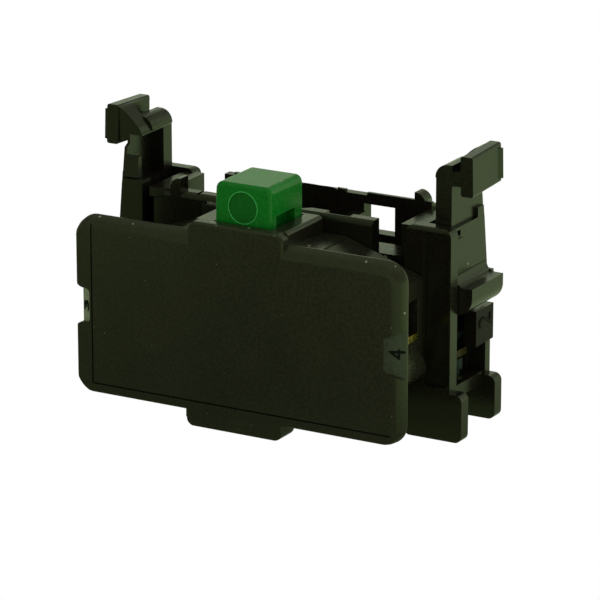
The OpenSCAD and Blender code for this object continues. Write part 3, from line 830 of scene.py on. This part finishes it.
def make_plunger_mark():
    """The sunk round mark on the plunger's front, with its rim painted pale as a highlight."""
    body = NODE_BODIES["plunger"]
    # The ring's pale green is a painted highlight
    ring_mark("plunger_ring", "green_plastic", body, MARK_MIDDLE, FORWARD,
              MARK_RADIUS, MARK_RIM, "green_rim_highlight")
    rays = [Vector((math.cos(angle), 0, math.sin(angle))) for angle in around_circle(RING_STEPS)]
    reach = MARK_RADIUS - MARK_GAP
    discs = []
    for depth in MARK_DEPTHS:
        middle = MARK_MIDDLE - depth * Vector(FORWARD)
        discs.append([middle + ray * reach for ray in rays])
    mesh = joined_ends("plunger_mark", *discs)
    finish_piece(new_piece("plunger_mark", mesh), "green_plastic", body, "deep_green")


def make_ejector_mark():
    """The ring at the right-hand wire chamber."""
    ring_mark("ejector_ring", "black_plastic", "carrier", EJECTOR_MIDDLE, RIGHTWARD,
              EJECTOR_RADIUS, EJECTOR_RIM)


def make_notch_pad():
    """The sloping digit pad that is seen in the cover's notch, in a pale colour that is painted light."""
    ends = []
    for z in (NOTCH_LOW, NOTCH_HIGH):
        outline = ((NOTCH_WALL, NOTCH_FRONT, z), (NOTCH_TIP, NOTCH_MIDDLE, z), (NOTCH_WALL, NOTCH_BACK, z))
        ends.append([Vector(corner) * MM for corner in outline])
    mesh = joined_ends("notch_pad", *ends)
    finish_piece(new_piece("notch_pad", mesh), "black_plastic", "carrier", "notch_painted_light")
    front = Vector((NOTCH_WALL, NOTCH_FRONT, NOTCH_LOW)) * MM
    tip = Vector((NOTCH_TIP, NOTCH_MIDDLE, NOTCH_HIGH)) * MM
    outward = (tip.x - front.x, tip.y - front.y, 0)
    raised_digit("digit_3", "3", NOTCH_DIGIT, (front + tip) / 2, outward)


def make_arm_trim(name, side):
    """The small barb at the far end of a grip plate, and the tip of the arm's outer skin."""
    inner = GRIP_FACE - BARB_SUNK
    outer = GRIP_FACE + BARB_PROUD
    barb = []
    for z, far in BARB_ENDS:
        outline = ((inner, far - BARB_LENGTH, z), (outer, far - BARB_POINT, z), (inner, far, z))
        barb.append(half_turned(outline, side))
    skin = [half_turned([(x, y, z) for y, z in SKIN_TIP], side) for x in SKIN_FACES]
    for piece_name, ends in (("grip_barb_" + name, barb), ("skin_tip_" + name, skin)):
        piece = new_piece(piece_name, joined_ends(piece_name, *ends))
        finish_piece(piece, "black_plastic", NODE_BODIES["clip_arm_" + name])


# Floor, light and camera

def with_lights(tree, vector, light, parts):
    """A light with further parts, each of which grows along its own direction."""
    for direction, spread, strength in parts:
        part = ramp(tree, directed(tree, vector, direction), spread)
        light = total(tree, product(tree, part, strength), light)
    return light


def by_ray(tree, lighting, seen, output):
    """What lights the unit, and the plain white that is seen behind it."""
    path = tree.nodes.new("ShaderNodeLightPath")
    mixed = tree.nodes.new("ShaderNodeMixShader")
    tree.links.new(path.outputs["Is Camera Ray"], mixed.inputs["Fac"])
    tree.links.new(lighting, mixed.inputs[1])
    tree.links.new(seen, mixed.inputs[2])
    tree.links.new(mixed.outputs["Shader"], output.inputs["Surface"])


def make_floor():
    """A glowing floor: plain white where the camera sees it, and for the unit a painted glow that is bright
    behind it and painted shade in front of it.
    """
    work = bmesh.new()
    bmesh.ops.create_grid(work, x_segments=FLOOR_STEPS, y_segments=FLOOR_STEPS, size=FLOOR_REACH)
    mesh = bpy.data.meshes.new("floor")
    work.to_mesh(mesh)
    work.free()
    floor = new_piece("floor", mesh)
    floor.location.z = -FLOOR_DROP
    material, tree, shader = new_material("pale_floor")
    tree.nodes.remove(shader)
    place = tree.nodes.new("ShaderNodeNewGeometry").outputs["Position"]
    shaded = tree.nodes.new("ShaderNodeEmission")
    shaded.inputs["Color"].default_value = opaque(FLOOR_TINT)
    light = with_lights(tree, place, FLOOR_BASE, (FLOOR_BACK, FLOOR_RIGHT, FLOOR_LEFT))
    tree.links.new(light, shaded.inputs["Strength"])
    white = tree.nodes.new("ShaderNodeEmission")
    white.inputs["Color"].default_value = opaque(WHITE)
    by_ray(tree, shaded.outputs["Emission"], white.outputs["Emission"], tree.nodes["Material Output"])
    mesh.materials.append(material)


def make_sky():
    """Soft light from low behind the unit, and weaker light from the front left, the top and the right."""
    world = bpy.data.worlds.new("studio")
    bpy.context.scene.world = world
    world.use_nodes = True
    tree = world.node_tree
    towards = tree.nodes.new("ShaderNodeTexCoord").outputs["Generated"]
    low = rest_of_one(tree, ramp(tree, directed(tree, towards, UPWARD), SKY_LOW_SPREAD))
    behind = product(tree, ramp(tree, directed(tree, towards, BACK), SKY_BACK_SPREAD), low)
    light = total(tree, product(tree, behind, SKY_BACK_STRENGTH), SKY_BASE)
    light = with_lights(tree, towards, light, (SKY_FRONT, SKY_TOP, SKY_RIGHT))
    soft = tree.nodes["Background"]
    soft.inputs["Color"].default_value = opaque(SKY_TINT)
    tree.links.new(light, soft.inputs["Strength"])
    white = tree.nodes.new("ShaderNodeBackground")
    white.inputs["Color"].default_value = opaque(WHITE)
    by_ray(tree, soft.outputs["Background"], white.outputs["Background"], tree.nodes["World Output"])


def make_camera():
    """The camera at the photograph's angle and distance."""
    across = (math.cos(CAMERA_AZIMUTH), math.sin(CAMERA_AZIMUTH))
    rise = math.sin(CAMERA_ELEVATION)
    right = Vector((*across, 0))
    up = Vector((-rise * across[1], rise * across[0], math.cos(CAMERA_ELEVATION)))
    ahead = up.cross(right)
    camera = new_piece("camera", bpy.data.cameras.new("camera"))
    turn = Matrix((right, up, -ahead)).transposed().to_4x4()
    place = AIM + AIM_RIGHT * right + AIM_UP * up - CAMERA_DISTANCE * ahead
    camera.matrix_world = Matrix.Translation(place) @ turn
    camera.data.lens = CAMERA_LENS
    camera.data.sensor_width = CAMERA_SENSOR
    camera.data.clip_start = CAMERA_NEAR
    bpy.context.scene.camera = camera


make_softened()
dress_tips("bridge_tips")
dress_tips("fixed_tips")
make_springs()
make_digits()
make_plunger_mark()
make_ejector_mark()
make_notch_pad()
make_arm_trim("right", 1)
make_arm_trim("left", -1)
make_floor()
make_sky()
make_camera()
bpy.context.scene.view_settings.view_transform = "Standard"
